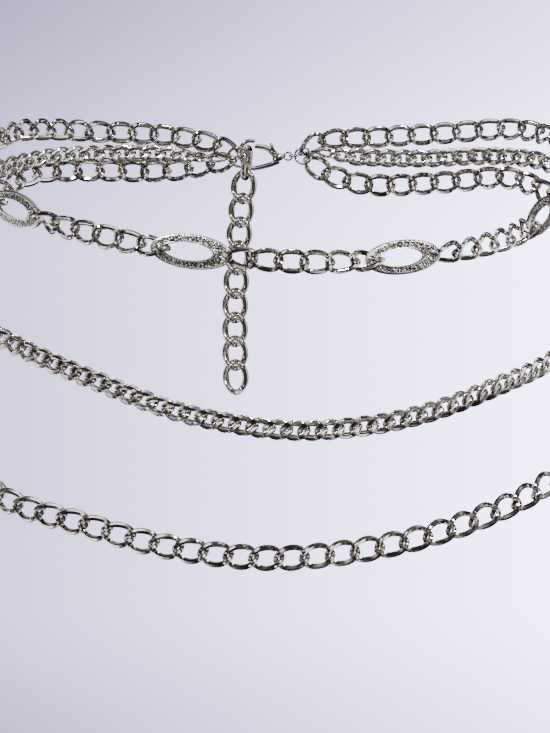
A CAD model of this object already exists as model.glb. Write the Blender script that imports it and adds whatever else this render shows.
import math
import random

import bmesh
import bpy
import numpy as np
from mathutils import Matrix, Vector


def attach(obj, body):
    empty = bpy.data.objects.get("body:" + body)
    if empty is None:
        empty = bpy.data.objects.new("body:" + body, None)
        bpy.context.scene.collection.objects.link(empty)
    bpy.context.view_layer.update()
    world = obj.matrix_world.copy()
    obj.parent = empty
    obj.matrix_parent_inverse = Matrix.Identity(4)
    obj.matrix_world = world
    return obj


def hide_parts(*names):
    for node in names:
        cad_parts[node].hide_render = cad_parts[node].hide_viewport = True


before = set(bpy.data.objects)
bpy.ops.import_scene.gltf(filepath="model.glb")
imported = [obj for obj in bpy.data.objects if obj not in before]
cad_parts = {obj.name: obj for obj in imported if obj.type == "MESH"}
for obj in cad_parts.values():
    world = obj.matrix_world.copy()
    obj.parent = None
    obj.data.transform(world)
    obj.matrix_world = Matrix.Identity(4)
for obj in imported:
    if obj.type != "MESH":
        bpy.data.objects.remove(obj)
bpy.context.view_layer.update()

# Lower strand. The long plain loop is an open curb chain: round iron wire cut into links, each
# closed round the next and twisted so that the chain lies flat, then plated bright and tumbled.
# Where it hangs free, toward the front, its links lean a little in their own plane.
MM = 0.001
LINK_PLAY = 0.4 * MM
CURB_TWIST = math.radians(50)
OPEN_STEPS = 28
OPEN_SIDES = 8
LOWER_PITCH = 8.7 * MM
LOWER_WIDTH = 9.1 * MM
LOWER_WIRE = 1.8 * MM
LOWER_SQUARENESS = 2.4
LOWER_SWELL = 0.28
LINK_LEAN = math.radians(6)
LEAN_STARTS = 20 * MM
LEAN_ENDS = 60 * MM
BRIGHT_PLATE = (0.72, 0.69, 0.65, 1.0)
WARM_PLATE = (0.50, 0.45, 0.40, 1.0)


def half_link(pitch, wire):
    return (pitch + wire + LINK_PLAY) / 2


def rounded_power(value, squareness):
    """Cosine or sine drawn out so that an oval stands a little squarer."""
    return math.copysign(abs(value) ** (2 / squareness), value)


def link_line(half_length, half_width, twist, squareness, turn):
    """A point on the middle line of a curb link."""
    lean = -twist * math.cos(turn)
    across = half_width * rounded_power(math.sin(turn), squareness)
    along = half_length * rounded_power(math.cos(turn), squareness)
    return Vector((along, across * math.cos(lean), across * math.sin(lean)))


def bend_to_link(bm, half_length, half_width, twist, squareness, swell):
    """Draws a ring of wire, spun at radius 1, out to its oval and twists its ends.

    Pressing the link flat swells the inner side of its two long sides.
    """
    step = 0.02
    for v in bm.verts:
        turn = math.atan2(v.co.y, v.co.x)
        out_by, side_by = math.hypot(v.co.x, v.co.y) - 1, v.co.z
        if out_by < 0:
            out_by *= 1 + swell * math.sin(turn) ** 4
        here = link_line(half_length, half_width, twist, squareness, turn)
        ahead = link_line(half_length, half_width, twist, squareness, turn + step)
        behind = link_line(half_length, half_width, twist, squareness, turn - step)
        tangent = (ahead - behind).normalized()
        side = tangent.cross(here).normalized()
        v.co = here + out_by * side.cross(tangent) + side_by * side


def curb_link(pitch, width, wire, twist, squareness, swell, steps, sides, pressed=1.0):
    """One link of wire, round or pressed a little flat, spun from its section and bent."""
    bm = bmesh.new()
    section = (Matrix.Translation((1, 0, 0)) @ Matrix.Rotation(math.pi / 2, 4, "X")
               @ Matrix.Diagonal((1, pressed, 1, 1)))
    bmesh.ops.create_circle(bm, segments=sides, radius=wire / 2, matrix=section)
    bmesh.ops.spin(bm, geom=bm.verts[:] + bm.edges[:], cent=(0, 0, 0), axis=(0, 0, 1),
                   angle=2 * math.pi, steps=steps, use_merge=True)
    bend_to_link(bm, half_link(pitch, wire), (width - wire) / 2, twist, squareness, swell)
    return bm


def solids_of(node):
    """Centre, three main directions and half sizes of each separate solid of a CAD node."""
    bm = bmesh.new()
    bm.from_mesh(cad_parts[node].data)
    bmesh.ops.remove_doubles(bm, verts=bm.verts, dist=0.001 * MM)
    bm.verts.ensure_lookup_table()
    seen, places = set(), []
    for start in bm.verts:
        if start.index in seen:
            continue
        seen.add(start.index)
        island, waiting = [], [start]
        while waiting:
            v = waiting.pop()
            island.append(v.co[:])
            for e in v.link_edges:
                other = e.other_vert(v)
                if other.index not in seen:
                    seen.add(other.index)
                    waiting.append(other)
        points = np.array(island)
        middle = points.mean(0)
        vectors = np.linalg.eigh(np.cov((points - middle).T))[1]
        across = vectors[:, 1] * (1 if vectors[2, 1] >= 0 else -1)
        outward = vectors[:, 0] * (1 if vectors[:2, 0] @ middle[:2] >= 0 else -1)
        axes = np.stack([np.cross(across, outward), across, outward])
        reach = (points - middle) @ axes.T
        centre = middle + (reach.max(0) + reach.min(0)) / 2 @ axes
        places.append((Vector(centre), [Vector(a) for a in axes]))
    bm.free()
    return places


def standing_at(centre, axes):
    """The matrix that puts a piece made at the origin at a place with three directions."""
    turned = Matrix((axes[0], axes[1], axes[2])).transposed().to_4x4()
    return Matrix.Translation(centre) @ turned


def finished(bm, name, sharp_angle=math.radians(40)):
    """Turns a bmesh into a smooth-shaded object with its sharp edges kept."""
    bmesh.ops.recalc_face_normals(bm, faces=bm.faces[:])
    for face in bm.faces:
        face.smooth = True
    for edge in bm.edges:
        edge.smooth = len(edge.link_faces) != 2 or edge.calc_face_angle() < sharp_angle
    mesh = bpy.data.meshes.new(name)
    bm.to_mesh(mesh)
    bm.free()
    piece = bpy.data.objects.new(name, mesh)
    bpy.context.scene.collection.objects.link(piece)
    return piece


def leaning(places, lean):
    """The same places with the links leaning in their own plane, where the strand hangs free."""
    turned = []
    for centre, axes in places:
        free = min(1, max(0, (LEAN_ENDS - centre.y) / (LEAN_ENDS - LEAN_STARTS)))
        leaned = Matrix.Rotation(free * lean, 3, axes[2])
        turned.append((centre, [leaned @ axis for axis in axes]))
    return turned


def strand_of_links(name, link, places):
    """One object made of a copy of the link at every place of a strand."""
    pattern = bpy.data.meshes.new(name + "_link")
    link.to_mesh(pattern)
    link.free()
    strand = bmesh.new()
    for centre, axes in places:
        copy = pattern.copy()
        copy.transform(standing_at(centre, axes))
        strand.from_mesh(copy)
        bpy.data.meshes.remove(copy)
    bpy.data.meshes.remove(pattern)
    return finished(strand, name)


def new_group(name, inputs, outputs):
    """A shader node group with named sockets, and its input and output nodes."""
    group = bpy.data.node_groups.new(name, "ShaderNodeTree")
    for label, kind, value in inputs:
        socket = group.interface.new_socket(name=label, in_out="INPUT", socket_type=kind)
        socket.default_value = value
    for label, kind in outputs:
        group.interface.new_socket(name=label, in_out="OUTPUT", socket_type=kind)
    return group, group.nodes.new("NodeGroupInput"), group.nodes.new("NodeGroupOutput")


def plate_wear_group():
    """Plating seen close: a slow change of tone, a cloudy polish and a fine uneven skin."""
    group, given, result = new_group(
        "plate_wear",
        [("Bright", "NodeSocketColor", BRIGHT_PLATE), ("Warm", "NodeSocketColor", WARM_PLATE),
         ("Patch Scale", "NodeSocketFloat", 90.0), ("Skin Scale", "NodeSocketFloat", 900.0),
         ("Smoothest", "NodeSocketFloat", 0.06), ("Roughest", "NodeSocketFloat", 0.2)],
        [("Color", "NodeSocketColor"), ("Roughness", "NodeSocketFloat"),
         ("Height", "NodeSocketFloat")])
    nodes, links = group.nodes, group.links
    place = nodes.new("ShaderNodeTexCoord")
    patches = nodes.new("ShaderNodeTexNoise")
    patches.inputs["Detail"].default_value = 4
    links.new(place.outputs["Object"], patches.inputs["Vector"])
    links.new(given.outputs["Patch Scale"], patches.inputs["Scale"])
    tone = nodes.new("ShaderNodeMix")
    tone.data_type = "RGBA"
    spread = nodes.new("ShaderNodeMapRange")
    spread.inputs["From Min"].default_value = 0.38
    spread.inputs["From Max"].default_value = 0.72
    links.new(patches.outputs["Fac"], spread.inputs["Value"])
    links.new(spread.outputs["Result"], tone.inputs["Factor"])
    links.new(given.outputs["Bright"], tone.inputs["A"])
    links.new(given.outputs["Warm"], tone.inputs["B"])
    skin = nodes.new("ShaderNodeTexNoise")
    skin.inputs["Detail"].default_value = 3
    links.new(place.outputs["Object"], skin.inputs["Vector"])
    links.new(given.outputs["Skin Scale"], skin.inputs["Scale"])
    haze = nodes.new("ShaderNodeMapRange")
    haze.inputs["From Min"].default_value = 0.3
    haze.inputs["From Max"].default_value = 0.7
    links.new(skin.outputs["Fac"], haze.inputs["Value"])
    links.new(given.outputs["Smoothest"], haze.inputs["To Min"])
    links.new(given.outputs["Roughest"], haze.inputs["To Max"])
    links.new(tone.outputs["Result"], result.inputs["Color"])
    links.new(haze.outputs["Result"], result.inputs["Roughness"])
    links.new(skin.outputs["Fac"], result.inputs["Height"])
    return group


plate_wear = plate_wear_group()


def plated(name, bright, warm, smoothest, roughest, skin_depth):
    """Bright plating on a tumbled part."""
    material = bpy.data.materials.new(name)
    material.use_nodes = True
    nodes, links = material.node_tree.nodes, material.node_tree.links
    shader = nodes["Principled BSDF"]
    shader.inputs["Metallic"].default_value = 1.0
    wear = nodes.new("ShaderNodeGroup")
    wear.node_tree = plate_wear
    wear.inputs["Bright"].default_value = bright
    wear.inputs["Warm"].default_value = warm
    wear.inputs["Smoothest"].default_value = smoothest
    wear.inputs["Roughest"].default_value = roughest
    bump = nodes.new("ShaderNodeBump")
    bump.inputs["Strength"].default_value = 0.6
    bump.inputs["Distance"].default_value = skin_depth
    links.new(wear.outputs["Color"], shader.inputs["Base Color"])
    links.new(wear.outputs["Roughness"], shader.inputs["Roughness"])
    links.new(wear.outputs["Height"], bump.inputs["Height"])
    links.new(bump.outputs["Normal"], shader.inputs["Normal"])
    return material


wire_plate = plated("bright_plated_wire", BRIGHT_PLATE, WARM_PLATE, 0.05, 0.13, 0.006 * MM)
lower_strand = strand_of_links(
    "lower_strand",
    curb_link(LOWER_PITCH, LOWER_WIDTH, LOWER_WIRE, CURB_TWIST, LOWER_SQUARENESS, LOWER_SWELL,
              OPEN_STEPS, OPEN_SIDES),
    leaning(solids_of("lower_strand_links"), LINK_LEAN))
lower_strand.data.materials.append(wire_plate)
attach(lower_strand, "chain")
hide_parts("lower_strand_links")

# Upper strand. Open curb links like those below, of slightly thinner wire, run between the cast
# ovals. The link at each end of an oval stands edge on where it goes through.
UPPER_PITCH = 8.8 * MM
UPPER_WIDTH = 8.8 * MM
UPPER_WIRE = 1.7 * MM
UPPER_SQUARENESS = 2.45
UPPER_SWELL = 0.4
upper_strand = strand_of_links(
    "upper_strand",
    curb_link(UPPER_PITCH, UPPER_WIDTH, UPPER_WIRE, CURB_TWIST, UPPER_SQUARENESS, UPPER_SWELL,
              OPEN_STEPS, OPEN_SIDES),
    solids_of("upper_strand_links"))
upper_strand.data.materials.append(wire_plate)
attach(upper_strand, "chain")
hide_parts("upper_strand_links")

# Cast ovals. Each is one zinc casting with a large opening for the link on its left and a drilled
# hole in its right tip. The domed face is covered in fine grains, inside a plain matte rim.
OVAL_LENGTH = 28.6 * MM
OVAL_HEIGHT = 12 * MM
OVAL_THICKNESS = 1.6 * MM
OVAL_EDGE_THICKNESS = 1.0 * MM
OPENING_LENGTH = 17.3 * MM
OPENING_HEIGHT = 6 * MM
TIP_BAND = 4.6 * MM
TIP_HOLE = 2.6 * MM
TIP_HOLE_INSET = 2.5 * MM
OVAL_STEPS = 144
OVAL_ROWS = 11
SLOPED_RIM = 0.95 * MM
RIM_DROP = 0.42 * MM
LIP = 0.3 * MM
SUNK = 0.14 * MM
GRAIN = 0.8 * MM
OVAL_BRIGHT = (0.84, 0.82, 0.79, 1.0)
OVAL_WARM = (0.62, 0.59, 0.55, 1.0)
OVAL_DARK = (0.13, 0.12, 0.11, 1.0)


def flat_oval(bm, length, height, shift):
    """A closed oval outline in the plane of the plate."""
    drawn = Matrix.Translation((shift, 0, 0)) @ Matrix.Diagonal((length / 2, height / 2, 1, 1))
    made = bmesh.ops.create_circle(bm, segments=OVAL_STEPS, radius=1, matrix=drawn)
    return list({e for v in made["verts"] for e in v.link_edges})


def oval_plate():
    """The plate at the origin: length along X, height along Y, its domed face to +Z."""
    bm = bmesh.new()
    grained = bm.verts.layers.float.new("grained")
    opening_shift = OVAL_LENGTH / 2 - TIP_BAND - OPENING_LENGTH / 2
    rim = flat_oval(bm, OVAL_LENGTH, OVAL_HEIGHT, 0)
    opening = flat_oval(bm, OPENING_LENGTH, OPENING_HEIGHT, -opening_shift)
    spokes = bmesh.ops.bridge_loops(bm, edges=rim + opening)["edges"]
    bmesh.ops.subdivide_edges(bm, edges=spokes, cuts=OVAL_ROWS, use_grid_fill=True)
    bmesh.ops.translate(bm, vec=(0, 0, -OVAL_THICKNESS / 2), verts=bm.verts[:])
    face = bmesh.ops.extrude_face_region(bm, geom=bm.faces[:], use_keep_orig=True)["geom"]
    fall = (OVAL_THICKNESS - OVAL_EDGE_THICKNESS) / (OVAL_HEIGHT / 2) ** 2
    for v in face:
        if not isinstance(v, bmesh.types.BMVert):
            continue
        x, y = v.co.x, v.co.y
        from_rim = (1 - math.hypot(2 * x / OVAL_LENGTH, 2 * y / OVAL_HEIGHT)) * OVAL_HEIGHT / 2
        from_opening = (math.hypot(2 * (x + opening_shift) / OPENING_LENGTH,
                                   2 * y / OPENING_HEIGHT) - 1) * OPENING_HEIGHT / 2
        inward = min(1, max(0, from_rim / SLOPED_RIM))
        in_band = min(inward ** 2, min(1, max(0, (from_opening - LIP) / LIP)))
        v[grained] = in_band
        v.co.z = OVAL_THICKNESS / 2 - fall * y * y - RIM_DROP * (1 - inward) ** 1.5 - SUNK * in_band
    return bm


def worked(piece, operation, other):
    """Joins a part to a piece or cuts it out of it, and takes the part away."""
    step = piece.modifiers.new(operation, "BOOLEAN")
    step.operation = operation
    step.solver = "EXACT"
    step.object = other
    shape = bpy.data.meshes.new_from_object(
        piece.evaluated_get(bpy.context.evaluated_depsgraph_get()))
    piece.modifiers.clear()
    piece.data = shape
    bpy.data.objects.remove(other)


def drilled(piece):
    """Takes the tip hole out of a plate that is still at the origin."""
    bm = bmesh.new()
    bmesh.ops.create_cone(bm, cap_ends=True, segments=32, radius1=TIP_HOLE / 2,
                          radius2=TIP_HOLE / 2, depth=4 * OVAL_THICKNESS,
                          matrix=Matrix.Translation((OVAL_LENGTH / 2 - TIP_HOLE_INSET, 0, 0)))
    worked(piece, "DIFFERENCE", finished(bm, "drill"))


def grained_casting():
    """Plated casting: inside the plain rim its grains catch the light and the hollows stay dark."""
    material = bpy.data.materials.new("grained_casting")
    material.use_nodes = True
    nodes, links = material.node_tree.nodes, material.node_tree.links
    shader = nodes["Principled BSDF"]
    shader.inputs["Metallic"].default_value = 1.0
    wear = nodes.new("ShaderNodeGroup")
    wear.node_tree = plate_wear
    wear.inputs["Bright"].default_value = OVAL_BRIGHT
    wear.inputs["Warm"].default_value = OVAL_WARM
    wear.inputs["Smoothest"].default_value = 0.12
    wear.inputs["Roughest"].default_value = 0.3
    place = nodes.new("ShaderNodeTexCoord")
    grains = nodes.new("ShaderNodeTexVoronoi")
    grains.inputs["Scale"].default_value = 1 / GRAIN
    links.new(place.outputs["Object"], grains.inputs["Vector"])
    hollow = nodes.new("ShaderNodeMapRange")
    hollow.interpolation_type = "SMOOTHSTEP"
    hollow.inputs["From Min"].default_value = 0.3
    hollow.inputs["From Max"].default_value = 0.62
    links.new(grains.outputs["Distance"], hollow.inputs["Value"])
    band = nodes.new("ShaderNodeAttribute")
    band.attribute_name = "grained"
    depth = nodes.new("ShaderNodeMath")
    depth.operation = "MULTIPLY"
    links.new(hollow.outputs["Result"], depth.inputs[0])
    links.new(band.outputs["Fac"], depth.inputs[1])
    tone = nodes.new("ShaderNodeMix")
    tone.data_type = "RGBA"
    tone.inputs["B"].default_value = OVAL_DARK
    links.new(wear.outputs["Color"], tone.inputs["A"])
    links.new(depth.outputs["Value"], tone.inputs["Factor"])
    raised = nodes.new("ShaderNodeMath")
    raised.operation = "MULTIPLY"
    links.new(grains.outputs["Distance"], raised.inputs[0])
    links.new(band.outputs["Fac"], raised.inputs[1])
    skin = nodes.new("ShaderNodeMath")
    skin.operation = "MULTIPLY_ADD"
    skin.inputs[1].default_value = 0.25
    links.new(wear.outputs["Height"], skin.inputs[0])
    links.new(raised.outputs["Value"], skin.inputs[2])
    bump = nodes.new("ShaderNodeBump")
    bump.invert = True
    bump.inputs["Strength"].default_value = 1.0
    bump.inputs["Distance"].default_value = 0.32 * MM
    links.new(skin.outputs["Value"], bump.inputs["Height"])
    links.new(tone.outputs["Result"], shader.inputs["Base Color"])
    links.new(wear.outputs["Roughness"], shader.inputs["Roughness"])
    links.new(bump.outputs["Normal"], shader.inputs["Normal"])
    return material


oval_metal = grained_casting()
for number in range(1, 7):
    node = f"oval_{number}"
    plate = finished(oval_plate(), f"cast_oval_{number}")
    drilled(plate)
    plate.data.transform(standing_at(*solids_of(node)[0]))
    plate.data.materials.clear()
    plate.data.materials.append(oval_metal)
    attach(plate, "chain")
    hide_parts(node)

# Middle strand. A close flat curb chain of thick wire: the closed links are twisted tight and then
# ground flat on both faces, so that each shows bright cut facets and only a small opening. Next to
# the two rings the links are made narrower here, to pass beside the other strands' links.
FLAT_STEPS = 20
FLAT_SIDES = 8
FLAT_PITCH = 5.9 * MM
FLAT_WIDTH = 7.4 * MM
FLAT_WIRE = 2.3 * MM
FLAT_PRESSED = 0.65
FLAT_TWIST = math.radians(50)
FLAT_THICKNESS = 2.4 * MM
FLAT_SQUARENESS = 2.2
FLAT_UNEVEN = math.radians(1.7)
FLAT_LEAN = math.radians(3)
FACET_EDGE = 0.12 * MM
FLAT_BRIGHT = (0.84, 0.82, 0.78, 1.0)
FLAT_WARM = (0.66, 0.62, 0.55, 1.0)
# The chosen points of the middle strand in millimetres, from the end ring round to the jump ring
MIDDLE_ROUTE = [
    (-20.4, 75.4, -2.9), (-40, 73.4, -1.1), (-66, 73.8, -0.8), (-88, 65, -3), (-106, 48.3, -9),
    (-119, 28.3, -22), (-125, 6.7, -37), (-120, -16.7, -52), (-108, -40, -65), (-88, -58, -76.6),
    (-62, -70, -87.7), (-32, -78, -98.6), (0, -81, -104.3), (26, -80, -103.7), (52, -74, -98.8),
    (78, -63, -89.2), (98, -46.7, -80), (114, -26.7, -66), (122, -5, -50), (125, 16.7, -34),
    (118, 38.3, -17), (104, 55.8, -5.7), (84, 67.8, -2.1), (58, 74, -2.6), (34, 74.3, -2.1),
    (22, 75, -0.8), (17.2, 76.2, 0.2)]
ROUTE_STEPS = 12
# How far past the route's ends the first and last links stand, here short of them
FIRST_GAP = -3.4 * MM
LAST_GAP = -3.4 * MM
# The share of its width that the end link keeps, and over how many links it widens again
FIRST_NARROW = (0.4, 4)
LAST_NARROW = (0.52, 2)


def smooth_route(points):
    """A smooth curve through the chosen points, as a close row of points."""
    given = [Vector(p) * MM for p in points]
    given = [2 * given[0] - given[1]] + given + [2 * given[-1] - given[-2]]
    curve = []
    for a, b, c, d in zip(given, given[1:], given[2:], given[3:]):
        for k in range(ROUTE_STEPS):
            u = k / ROUTE_STEPS
            curve.append(0.5 * (2 * b + (c - a) * u + (2 * a - 5 * b + 4 * c - d) * u * u
                                + (3 * b - a - 3 * c + d) * u ** 3))
    return curve + [given[-2]]


def places_along(curve, pitch, first, last):
    """Evenly spaced places on a curve, with first and last as distances past its two ends."""
    steps = [(b - a).length for a, b in zip(curve, curve[1:])]
    total = sum(steps)
    count = round((total + first + last) / pitch)
    marks = np.concatenate([[0], np.cumsum(steps)])
    table = np.array([p[:] for p in curve])

    def at(s):
        inside = min(max(s, 0), total)
        point = np.array([np.interp(inside, marks, table[:, k]) for k in range(3)])
        end = table[0] - table[1] if s < 0 else table[-1] - table[-2]
        return Vector(point + (abs(s - inside) / np.linalg.norm(end)) * end)

    places = []
    for k in range(count + 1):
        s = -first + (total + first + last) * k / count
        line = (at(s + pitch / 2) - at(s - pitch / 2)).normalized()
        across = (Vector((0, 0, 1)) - line.z * line).normalized()
        places.append((at(s), [line, across, line.cross(across)]))
    return places


def narrow_ends(places):
    """The same places with the links near the two rings narrower, to pass beside the others."""
    narrowed = []
    for k, (centre, (along, across, outward)) in enumerate(places):
        share = 1.0
        for (least, links), away in ((FIRST_NARROW, k), (LAST_NARROW, len(places) - 1 - k)):
            share = min(share, least + (1 - least) * away / links)
        narrowed.append((centre, [along, across * share, outward]))
    return narrowed


def unevenly(places):
    """The same places with each link turned a little its own way, so that the facets differ."""
    uneven = random.Random(5)
    turned = []
    for centre, axes in places:
        rocked = Matrix.Rotation(uneven.uniform(-FLAT_UNEVEN, FLAT_UNEVEN), 3, axes[0])
        leaned = Matrix.Rotation(uneven.uniform(-FLAT_UNEVEN, FLAT_UNEVEN), 3, axes[1])
        turned.append((centre, [rocked @ leaned @ axis for axis in axes]))
    return turned


flat_link = curb_link(FLAT_PITCH, FLAT_WIDTH, FLAT_WIRE, FLAT_TWIST, FLAT_SQUARENESS, 0.0,
                      FLAT_STEPS, FLAT_SIDES, FLAT_PRESSED)
for side in (1, -1):
    cut = bmesh.ops.bisect_plane(
        flat_link, geom=flat_link.verts[:] + flat_link.edges[:] + flat_link.faces[:],
        plane_co=(0, 0, side * FLAT_THICKNESS / 2), plane_no=(0, 0, side), clear_outer=True)
    rims = [e for e in cut["geom_cut"] if isinstance(e, bmesh.types.BMEdge)]
    bmesh.ops.holes_fill(flat_link, edges=rims, sides=0)
    bmesh.ops.bevel(flat_link, geom=[e for e in rims if e.is_valid], offset=FACET_EDGE,
                    offset_type="OFFSET", segments=1, profile=0.5, affect="EDGES", material=-1)
middle_strand = strand_of_links(
    "middle_strand_flat_curb", flat_link,
    unevenly(narrow_ends(leaning(
        places_along(smooth_route(MIDDLE_ROUTE), FLAT_PITCH, FIRST_GAP, LAST_GAP), FLAT_LEAN))))
flat_plate = plated("bright_cut_plate", FLAT_BRIGHT, FLAT_WARM, 0.05, 0.12, 0.008 * MM)
middle_strand.data.materials.append(flat_plate)
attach(middle_strand, "chain")
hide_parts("middle_strand")

# Extender. Ten heavier curb links hang from the clasp end, so that the hook can close further out.
# The first is plain and stands half turned, because it goes round the bar of the hook.
EXTENDER_PITCH = 9.25 * MM
EXTENDER_WIDTH = 10.1 * MM
EXTENDER_WIRE = 2.2 * MM
EXTENDER_SQUARENESS = 2.4
EXTENDER_SWELL = 0.25
EXTENDER_STEPS = 36
EXTENDER_SIDES = 12
extender_places = sorted(solids_of("extender_links_chain"), key=lambda place: -place[0].z)
for name, twist, places in (("extender_first_link", 0.0, extender_places[:1]),
                            ("extender_chain", CURB_TWIST, extender_places[1:])):
    extender = strand_of_links(
        name, curb_link(EXTENDER_PITCH, EXTENDER_WIDTH, EXTENDER_WIRE, twist, EXTENDER_SQUARENESS,
                        EXTENDER_SWELL, EXTENDER_STEPS, EXTENDER_SIDES), places)
    extender.data.materials.append(wire_plate)
    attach(extender, "chain")
    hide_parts("extender_links_chain")

# Rings. The end ring is one closed, soldered ring of round wire. The two jump rings are bent from
# thinner wire and only pressed shut, so that a fine split shows where their ends meet.
END_RING = (9.6 * MM, 1.2 * MM)
LARGE_RING = (7.2 * MM, 0.9 * MM)
SMALL_RING = (3.9 * MM, 0.7 * MM)
SPLIT = 0.12 * MM
SPLIT_TURN = math.radians(70)
RING_STEPS = 44
RING_SIDES = 14
RING_BRIGHT = (0.55, 0.52, 0.48, 1.0)
RING_WARM = (0.3, 0.27, 0.24, 1.0)


def wire_ring(name, size, split, placed):
    """A ring of round wire, closed or with a split at its start."""
    diameter, wire = size
    radius = (diameter - wire) / 2
    bm = bmesh.new()
    section = Matrix.Translation((radius, 0, 0)) @ Matrix.Rotation(math.pi / 2, 4, "X")
    bmesh.ops.create_circle(bm, segments=RING_SIDES, radius=wire / 2, matrix=section)
    bmesh.ops.spin(bm, geom=bm.verts[:] + bm.edges[:], cent=(0, 0, 0), axis=(0, 0, 1),
                   angle=2 * math.pi - split / radius, steps=RING_STEPS, use_merge=split == 0)
    open_ends = [e for e in bm.edges if len(e.link_faces) == 1]
    bmesh.ops.holes_fill(bm, edges=open_ends, sides=0)
    bmesh.ops.transform(bm, matrix=placed, verts=bm.verts[:])
    return finished(bm, name)


ring_plate = plated("bright_ring_plate", RING_BRIGHT, RING_WARM, 0.06, 0.15, 0.006 * MM)
for node, size, split, centre, lean in (
        ("end_ring", END_RING, 0, (-13.9, 74.6, -2), (-56.5, -10.2)),
        ("large_jump_ring", LARGE_RING, SPLIT, (10.9, 78, -1.3), (90, 0)),
        ("small_jump_ring", SMALL_RING, SPLIT, (7.1, 78, -1.3), (0, 0))):
    placed = (Matrix.Translation(Vector(centre) * MM)
              @ Matrix.Rotation(math.radians(lean[1]), 4, "Z")
              @ Matrix.Rotation(math.radians(lean[0]), 4, "X")
              @ Matrix.Rotation(SPLIT_TURN, 4, "Z"))
    ring = wire_ring(node + "_wire", size, split, placed)
    ring.data.materials.append(ring_plate)
    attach(ring, "chain")
    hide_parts(node)

# Clasp. A small lobster clasp, cast in zinc with its tail and eye in one, tumbled soft and plated.
# The lever sits in the slot of the tail on a pressed-in pin, and its spike takes the thumb.
CLASP_Y = 78
CLASP_WIDTH = 3 * MM
SLOT_WIDTH = 1.5 * MM
SOFTENED = 0.22 * MM
HOOK_LINE = [(1.6, -3.4), (-1.6, -4.6), (-4.8, -5.5), (-8, -6.1), (-10.8, -5.4), (-12.6, -3.6),
             (-13.3, -1.3), (-13.3, 0.9), (-12.6, 2.9), (-11.2, 4.2), (-9.4, 4.6), (-7.7, 4.3)]
HOOK_ROOT = 2 * MM
HOOK_TIP = 1.5 * MM
TAIL_OUTLINE = [(-1.1, -2.2), (-0.2, -0.1), (0.9, 0.2), (2.6, -0.6), (3.4, -0.7), (3.4, -2.2),
                (2.6, -2.9), (0.6, -3.8), (-0.6, -3.9)]
SLOT_OUTLINE = [(-2.5, -2.6), (1.5, -2.6), (1.8, -1.2), (1.8, 1.5), (-2.5, 1.5)]
EYE_PLACE = (5.1, -1.4)
EYE_BORE = 2.2 * MM
EYE_WALL = 0.8 * MM
EYE_THICKNESS = 1 * MM
DRILL_DEPTH = 4 * MM
PIN_PLACE = (0.4, -1.2)
PIN = 0.9 * MM
PIN_BORE = 1.0 * MM
PIN_INSET = 0.1 * MM
LEVER_LINE = [(0.4, -1.2), (-1.2, 0.5), (-3, 1.6), (-5.4, 2.3), (-8, 2.5)]
LEVER_ROOT = 2.8 * MM
LEVER_TIP = 1.8 * MM
LEVER_THICKNESS = 1.2 * MM
LEVER_BOSS = 2.1 * MM
LEVER_BORE = 1.2 * MM
SPIKE_OUTLINE = [(-1.6, 0.6), (-2.1, 3.7), (-1.6, 4.2), (-1, 3.7), (0.4, -0.4)]


def in_clasp(x, z, y=0.0):
    """A point of the clasp from its sideways and upright place in its own plane."""
    return Vector((x * MM, CLASP_Y * MM + y, z * MM))


def cast_rod(line, root, tip, squash):
    """A rod along a curved line, thinner toward its tip, with both its ends rounded off."""
    curve = smooth_route([(x, CLASP_Y, z) for x, z in line])[::3]
    bm = bmesh.new()
    rows = []
    last = len(curve) - 1
    for i, point in enumerate(curve):
        along = (curve[min(i + 1, last)] - curve[max(i - 1, 0)]).normalized()
        side = Vector((0, 1, 0))
        radius = (root + (tip - root) * i / last) / 2
        turned = Matrix((along.cross(side), side * squash, along)).transposed().to_4x4()
        ends = [(0.0, 1.0)]
        if i in (0, last):
            outward = -1 if i == 0 else 1
            rounding = [(-0.8, 1.0), (-0.35, 0.94), (-0.12, 0.75), (0.0, 0.4)]
            ends = [(outward * back, wide) for back, wide in rounding]
            ends = ends[::-1] if i == 0 else ends
        for shift, wide in ends:
            placed = Matrix.Translation(point + along * shift * radius * 0.6) @ turned
            made = bmesh.ops.create_circle(bm, segments=16, radius=radius * wide, matrix=placed)
            rows.append(list({e for v in made["verts"] for e in v.link_edges}))
    for near, far in zip(rows, rows[1:]):
        bmesh.ops.bridge_loops(bm, edges=near + far)
    for row in (rows[0], rows[-1]):
        bmesh.ops.holes_fill(bm, edges=row, sides=0)
    return finished(bm, "cast_rod")


def cast_plate(outline, thickness, softened):
    """A flat shape of the clasp with softened edges."""
    bm = bmesh.new()
    corners = [bm.verts.new(in_clasp(x, z, -thickness / 2)) for x, z in outline]
    bmesh.ops.contextual_create(bm, geom=corners)
    grown = bmesh.ops.extrude_face_region(bm, geom=bm.faces[:], use_keep_orig=True)["geom"]
    bmesh.ops.translate(bm, vec=(0, thickness, 0),
                        verts=[v for v in grown if isinstance(v, bmesh.types.BMVert)])
    if softened:
        bmesh.ops.bevel(bm, geom=bm.edges[:], offset=softened, offset_type="OFFSET", segments=3,
                        profile=0.5, affect="EDGES", material=-1)
    return finished(bm, "cast_plate")


def cast_disc(place, diameter, thickness, softened):
    """A round part of the clasp, its axis front to back."""
    bm = bmesh.new()
    placed = Matrix.Translation(in_clasp(*place)) @ Matrix.Rotation(math.pi / 2, 4, "X")
    bmesh.ops.create_cone(bm, cap_ends=True, segments=40, radius1=diameter / 2,
                          radius2=diameter / 2, depth=thickness, matrix=placed)
    if softened:
        rims = [e for e in bm.edges if e.calc_face_angle() > 1]
        bmesh.ops.bevel(bm, geom=rims, offset=softened, offset_type="OFFSET", segments=3,
                        profile=0.5, affect="EDGES", material=-1)
    return finished(bm, "cast_disc")


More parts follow.
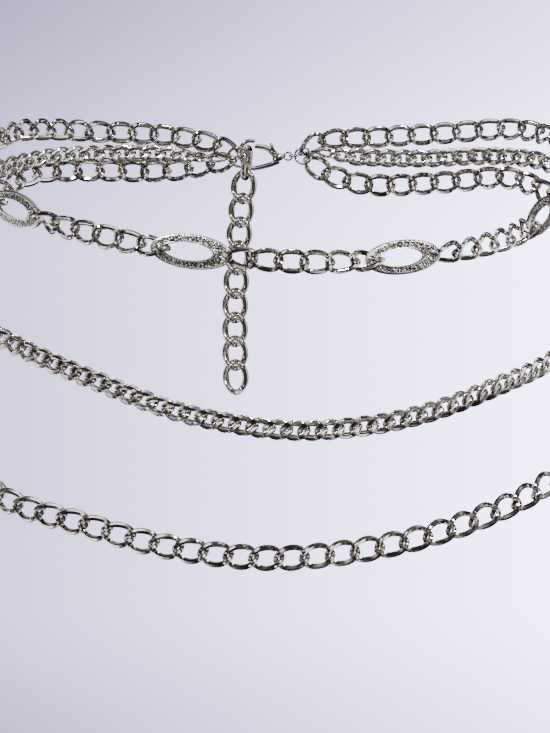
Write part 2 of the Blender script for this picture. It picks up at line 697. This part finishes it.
clasp_plate = plated("tumbled_clasp_plate", BRIGHT_PLATE, WARM_PLATE, 0.06, 0.16, 0.01 * MM)
clasp = cast_rod(HOOK_LINE, HOOK_ROOT, HOOK_TIP, 1)
worked(clasp, "UNION", cast_plate(TAIL_OUTLINE, CLASP_WIDTH, SOFTENED))
worked(clasp, "UNION", cast_disc(EYE_PLACE, EYE_BORE + 2 * EYE_WALL, EYE_THICKNESS, SOFTENED))
worked(clasp, "DIFFERENCE", cast_disc(EYE_PLACE, EYE_BORE, DRILL_DEPTH, 0))
worked(clasp, "DIFFERENCE", cast_plate(SLOT_OUTLINE, SLOT_WIDTH, 0))
worked(clasp, "DIFFERENCE", cast_disc(PIN_PLACE, PIN_BORE, DRILL_DEPTH, 0))
pin = cast_disc(PIN_PLACE, PIN, CLASP_WIDTH - PIN_INSET, 0.08 * MM)
lever = cast_rod(LEVER_LINE, LEVER_ROOT, LEVER_TIP, LEVER_THICKNESS / LEVER_ROOT)
worked(lever, "UNION", cast_disc(PIN_PLACE, LEVER_BOSS, LEVER_THICKNESS, 0.12 * MM))
worked(lever, "UNION", cast_plate(SPIKE_OUTLINE, LEVER_THICKNESS, 0.2 * MM))
worked(lever, "DIFFERENCE", cast_disc(PIN_PLACE, LEVER_BORE, DRILL_DEPTH, 0))
for piece, name, node, body in ((clasp, "clasp_hook_and_tail", "clasp_body", "chain"),
                                (pin, "clasp_pin", "clasp_body", "chain"),
                                (lever, "clasp_lever_with_spike", "clasp_lever", "lever")):
    piece.name = name
    piece.data.name = name
    piece.data.materials.clear()
    piece.data.materials.append(clasp_plate)
    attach(piece, body)
    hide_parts(node)

# Studio. The chain hangs free in soft light before a pale lavender ground, with a dark room behind
# the camera that the bright wire shows as its black bands.
CAMERA_BACK = 1.184
CAMERA_HEIGHT = -0.083
CAMERA_LENS = 159.8
FLOOR_HEIGHT = -0.42
FLOOR_RADIUS = 1.75
FLOOR_PALE = (0.9, 0.9, 0.95, 1)
FLOOR_ROUGHNESS = 0.8
# A range of direction or of noise, and the steps of light, each a doubling, at its two ends
ROOM_PATCHES = (0.41, 0.61, -5.6, 1.4)
ROOM_BEHIND_CHAIN = (0.4, 0.9, 0.0, -3.0)
GROUND_ACROSS = (-0.0845, 0.0845, 0.58, 2.4)
GROUND_ABOVE = (0.03, 0.135, 0.0, -1.35)
GROUND_BELOW = (-0.07, -0.125, 0.0, -0.75)
GROUND_TINT = (1.0, 0.925, 1.52)

camera = bpy.data.objects.new("camera", bpy.data.cameras.new("camera"))
camera.location = (0, -CAMERA_BACK, CAMERA_HEIGHT)
camera.rotation_euler = (math.pi / 2, 0, 0)
camera.data.lens = CAMERA_LENS
camera.data.clip_end = 20
bpy.context.scene.collection.objects.link(camera)
bpy.context.scene.camera = camera

bm = bmesh.new()
bmesh.ops.create_circle(bm, cap_ends=True, segments=96, radius=FLOOR_RADIUS,
                        matrix=Matrix.Translation((0, 0, FLOOR_HEIGHT)))
floor = finished(bm, "floor")
pale = bpy.data.materials.new("pale_floor")
pale.use_nodes = True
pale.node_tree.nodes["Principled BSDF"].inputs["Base Color"].default_value = FLOOR_PALE
pale.node_tree.nodes["Principled BSDF"].inputs["Roughness"].default_value = FLOOR_ROUGHNESS
mirrored = pale.node_tree.nodes.new("ShaderNodeLightPath")
clear = pale.node_tree.nodes.new("ShaderNodeBsdfTransparent")
either = pale.node_tree.nodes.new("ShaderNodeMixShader")
pale.node_tree.links.new(mirrored.outputs["Is Glossy Ray"], either.inputs["Fac"])
pale.node_tree.links.new(pale.node_tree.nodes["Principled BSDF"].outputs["BSDF"], either.inputs[1])
pale.node_tree.links.new(clear.outputs["BSDF"], either.inputs[2])
pale.node_tree.links.new(either.outputs["Shader"],
                         pale.node_tree.nodes["Material Output"].inputs["Surface"])
floor.data.materials.append(pale)


def softbox(name, place, size, power):
    """An even square light that faces the chain."""
    lamp = bpy.data.lights.new(name, "AREA")
    lamp.shape = "SQUARE"
    lamp.size = size
    lamp.energy = power
    light = bpy.data.objects.new(name, lamp)
    light.location = place
    light.rotation_euler = (-Vector(place)).to_track_quat("-Z", "Y").to_euler()
    bpy.context.scene.collection.objects.link(light)


softbox("key_left", (-0.9, -1.5, 1.3), 0.3, 30)
softbox("key_right", (1.2, -1.1, 0.8), 0.22, 12)
softbox("overhead", (0.1, 0.3, 1.8), 0.5, 6)


def studio_world():
    """A dark room before the chain, pale ground under and behind it, and the ground for the eye."""
    world = bpy.data.worlds.new("studio")
    world.use_nodes = True
    nodes, links = world.node_tree.nodes, world.node_tree.links
    light = nodes["Background"]
    place = nodes.new("ShaderNodeTexCoord")
    parts = nodes.new("ShaderNodeSeparateXYZ")
    links.new(place.outputs["Generated"], parts.inputs["Vector"])

    def spread(value, low, high, out_low, out_high, smooth):
        step = nodes.new("ShaderNodeMapRange")
        step.interpolation_type = "SMOOTHSTEP" if smooth else "LINEAR"
        for label, given in (("From Min", low), ("From Max", high),
                             ("To Min", out_low), ("To Max", out_high)):
            step.inputs[label].default_value = given
        links.new(value, step.inputs["Value"])
        return step.outputs["Result"]

    def combined(operation, one, two):
        step = nodes.new("ShaderNodeMath")
        step.operation = operation
        for socket, given in zip(step.inputs, (one, two)):
            if isinstance(given, float):
                socket.default_value = given
            else:
                links.new(given, socket)
        return step.outputs["Value"]

    clutter = nodes.new("ShaderNodeTexNoise")
    clutter.inputs["Scale"].default_value = 1.7
    clutter.inputs["Detail"].default_value = 2
    moved = nodes.new("ShaderNodeVectorMath")
    moved.operation = "ADD"
    moved.inputs[1].default_value = (-4, 9, 0)
    links.new(place.outputs["Generated"], moved.inputs[0])
    links.new(moved.outputs["Vector"], clutter.inputs["Vector"])
    patches = spread(clutter.outputs["Fac"], *ROOM_PATCHES, False)
    behind = spread(parts.outputs["Y"], *ROOM_BEHIND_CHAIN, True)
    room = combined("POWER", 2.0, combined("ADD", patches, behind))
    shade = nodes.new("ShaderNodeMix")
    shade.data_type = "RGBA"
    shade.inputs["A"].default_value = (1.08, 1.0, 0.95, 1)
    shade.inputs["B"].default_value = (1.0, 0.98, 1.02, 1)
    links.new(room, shade.inputs["Factor"])
    seen = nodes.new("ShaderNodeVectorMath")
    seen.operation = "SCALE"
    links.new(shade.outputs["Result"], seen.inputs[0])
    links.new(room, seen.inputs["Scale"])
    sideways = spread(parts.outputs["X"], *GROUND_ACROSS, False)
    upward = spread(parts.outputs["Z"], *GROUND_ABOVE, True)
    downward = spread(parts.outputs["Z"], *GROUND_BELOW, True)
    ground = combined("POWER", 2.0,
                      combined("ADD", sideways, combined("ADD", upward, downward)))
    tint = nodes.new("ShaderNodeVectorMath")
    tint.operation = "SCALE"
    tint.inputs[0].default_value = GROUND_TINT
    links.new(ground, tint.inputs["Scale"])
    eye = nodes.new("ShaderNodeLightPath")
    shown = nodes.new("ShaderNodeMix")
    shown.data_type = "RGBA"
    links.new(eye.outputs["Is Camera Ray"], shown.inputs["Factor"])
    links.new(seen.outputs["Vector"], shown.inputs["A"])
    links.new(tint.outputs["Vector"], shown.inputs["B"])
    links.new(shown.outputs["Result"], light.inputs["Color"])
    return world


bpy.context.scene.world = studio_world()
